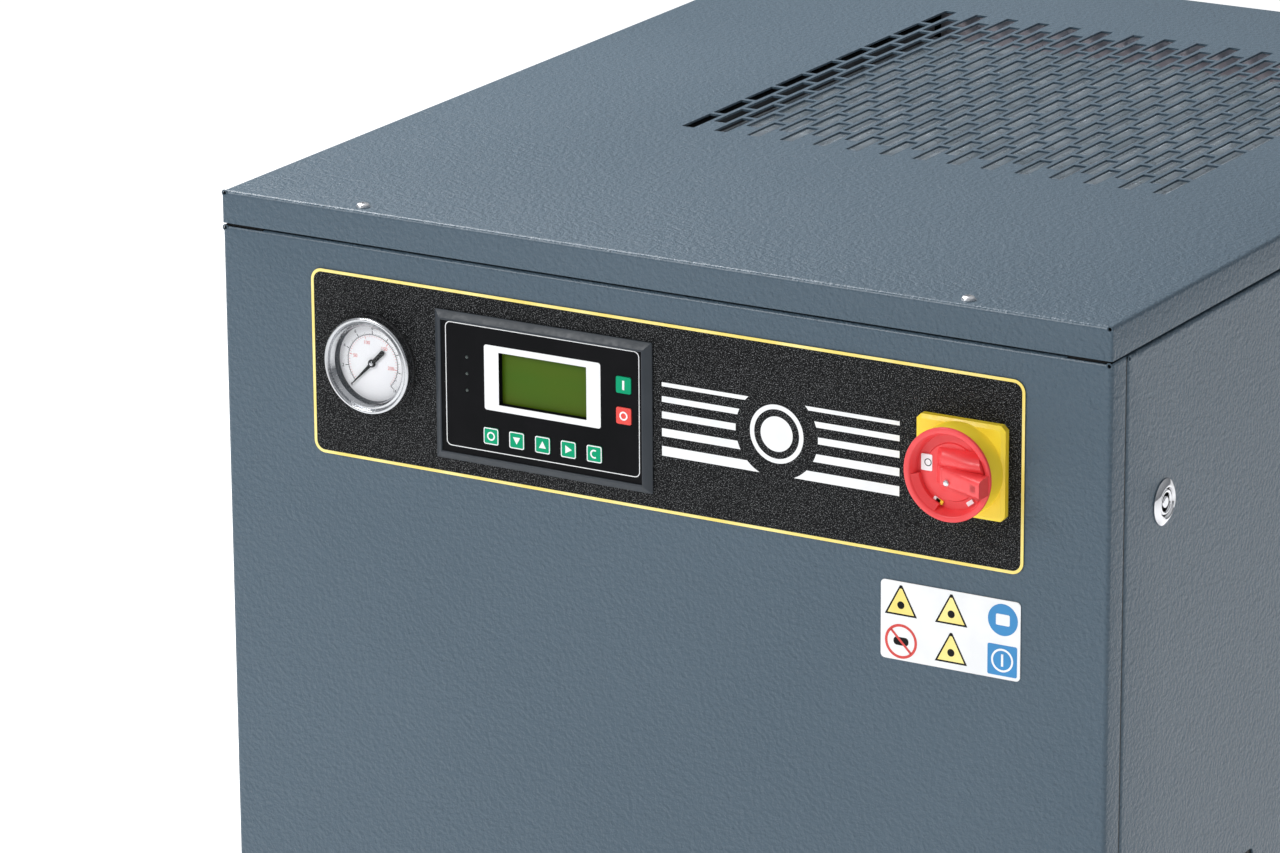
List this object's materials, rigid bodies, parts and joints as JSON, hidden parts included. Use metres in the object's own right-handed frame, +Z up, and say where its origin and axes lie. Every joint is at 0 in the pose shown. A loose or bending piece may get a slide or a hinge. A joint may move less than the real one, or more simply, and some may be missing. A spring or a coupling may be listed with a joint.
{
  "type": "refrigerated air dryer",
  "caption": "Refrigerated compressed-air dryer in a folded-sheet cabinet with hinged side doors, slotted top grille, pressure gauge, keypad controller and rotary main switch.",
  "frame": {"origin": "on the floor, under the middle of the bounding box", "axes": "+Z up; -Y towards the front with the controls; +X to the right of someone facing the front, towards the side with the intake grille"},
  "size_m": [0.681, 0.9, 0.9529],
  "materials": {
    "aluminium": "bare fins",
    "black_plastic": "satin black",
    "box_plastic": "light grey",
    "chrome": "polished",
    "copper": "bare copper tube",
    "dial_white": "printed white",
    "foam": "closed-cell foam skin",
    "frame_paint": "dark powder coat",
    "glass": "clear",
    "grey_paint": "blue-grey wrinkle powder coat, satin",
    "key_green": "satin",
    "key_red": "satin",
    "label_white": "printed film",
    "lcd_green": "dark green display window",
    "led": "unlit",
    "lever_paint": "red sleeve",
    "pointer_black": "black",
    "rubber": "matt",
    "shell_black": "gloss black",
    "steel": "polished stainless",
    "strip_black": "fine speckled film",
    "switch_red": "moulded",
    "switch_yellow": "moulded",
    "zinc": "zinc plated"
  },
  "bodies": {
    "cabinet": {"base_frame": "frame_paint", "post_front_left": "frame_paint", "post_front_right": "frame_paint", "post_rear_left": "frame_paint", "post_rear_right": "frame_paint", "top_frame": "frame_paint", "front_panel": "grey_paint", "top_cover": "grey_paint", "rear_panel": "grey_paint", "hinge_strip_left": "zinc", "hinge_strip_right": "zinc", "control_strip": "strip_black", "pictogram_label": "label_white", "controller_housing": "black_plastic", "controller_face": "black_plastic", "lcd_window": "lcd_green", "status_leds": "led", "gauge_case": "steel", "gauge_bezel": "steel", "gauge_dial": "dial_white", "gauge_glass": "glass", "switch_plate": "switch_yellow", "switch_body": "black_plastic", "cover_screw_left": "zinc", "cover_screw_right": "zinc", "condenser": "aluminium", "fan_shroud": "frame_paint", "fan_motor": "shell_black", "refrigerant_compressor": "shell_black", "compressor_pad": "rubber", "heat_exchanger": "foam", "moisture_separator": "aluminium", "drain_valve": "steel", "air_inlet_pipe": "steel", "air_outlet_pipe": "steel", "filter_drier": "copper", "discharge_pipe": "copper", "liquid_pipe": "copper", "capillary_pipe": "copper", "suction_pipe": "copper", "electrical_box": "box_plastic", "cable_gland": "black_plastic"},
    "door_right_body": {"door_right": "grey_paint", "lock_ring_right": "chrome", "intake_grille": "black_plastic"},
    "door_left_body": {"door_left": "grey_paint", "lock_ring_left": "chrome"},
    "lock_right_body": {"lock_barrel_right": "chrome"},
    "lock_left_body": {"lock_barrel_left": "chrome"},
    "knob_body": {"switch_knob": "switch_red"},
    "pointer_body": {"gauge_pointer": "pointer_black"},
    "fan_body": {"fan_rotor": "black_plastic"},
    "lever_body": {"drain_lever": "lever_paint"},
    "key_function_body": {"key_function": "key_green"},
    "key_down_body": {"key_down": "key_green"},
    "key_up_body": {"key_up": "key_green"},
    "key_enter_body": {"key_enter": "key_green"},
    "key_reset_body": {"key_reset": "key_green"},
    "key_start_body": {"key_start": "key_green"},
    "key_stop_body": {"key_stop": "key_red"}
  },
  "joints": [
    {"name": "door_right_hinge", "type": "hinge", "parent": "cabinet", "child": "door_right_body", "pos_m": [0.3312, 0.3733, 0.475], "axis": [0, 0, 1], "range_deg": [0, 90]},
    {"name": "door_left_hinge", "type": "hinge", "parent": "cabinet", "child": "door_left_body", "pos_m": [-0.3312, 0.3733, 0.475], "axis": [0, 0, -1], "range_deg": [0, 90]},
    {"name": "lock_right_turn", "type": "hinge", "parent": "door_right_body", "child": "lock_right_body", "pos_m": [0.3375, -0.332, 0.813], "axis": [-1, 0, 0], "range_deg": [0, 90]},
    {"name": "lock_left_turn", "type": "hinge", "parent": "door_left_body", "child": "lock_left_body", "pos_m": [-0.3375, -0.332, 0.813], "axis": [-1, 0, 0], "range_deg": [0, 90]},
    {"name": "main_switch_turn", "type": "hinge", "parent": "cabinet", "child": "knob_body", "pos_m": [0.2337, -0.43, 0.8431], "axis": [0, 1, 0], "range_deg": [0, 90]},
    {"name": "gauge_pointer_turn", "type": "hinge", "parent": "cabinet", "child": "pointer_body", "pos_m": [-0.2171, -0.41, 0.8451], "axis": [0, 1, 0], "range_deg": [0, 270], "stiffness_Nm_per_rad": 0.001},
    {"name": "fan_spin", "type": "hinge", "parent": "cabinet", "child": "fan_body", "pos_m": [0.0435, 0.08, 0.844], "axis": [0, 0, 1], "continuous": true},
    {"name": "drain_lever_turn", "type": "hinge", "parent": "cabinet", "child": "lever_body", "pos_m": [-0.0803, 0.22, 0.13], "axis": [1, 0, 0], "range_deg": [-90, 0]},
    {"name": "key_function_press", "type": "slide", "parent": "cabinet", "child": "key_function_body", "axis": [0, 1, 0], "range_m": [0, 0.0005], "stiffness_N_per_m": 500},
    {"name": "key_down_press", "type": "slide", "parent": "cabinet", "child": "key_down_body", "axis": [0, 1, 0], "range_m": [0, 0.0005], "stiffness_N_per_m": 500},
    {"name": "key_up_press", "type": "slide", "parent": "cabinet", "child": "key_up_body", "axis": [0, 1, 0], "range_m": [0, 0.0005], "stiffness_N_per_m": 500},
    {"name": "key_enter_press", "type": "slide", "parent": "cabinet", "child": "key_enter_body", "axis": [0, 1, 0], "range_m": [0, 0.0005], "stiffness_N_per_m": 500},
    {"name": "key_reset_press", "type": "slide", "parent": "cabinet", "child": "key_reset_body", "axis": [0, 1, 0], "range_m": [0, 0.0005], "stiffness_N_per_m": 500},
    {"name": "key_start_press", "type": "slide", "parent": "cabinet", "child": "key_start_body", "axis": [0, 1, 0], "range_m": [0, 0.0005], "stiffness_N_per_m": 500},
    {"name": "key_stop_press", "type": "slide", "parent": "cabinet", "child": "key_stop_body", "axis": [0, 1, 0], "range_m": [0, 0.0005], "stiffness_N_per_m": 500}
  ]
}
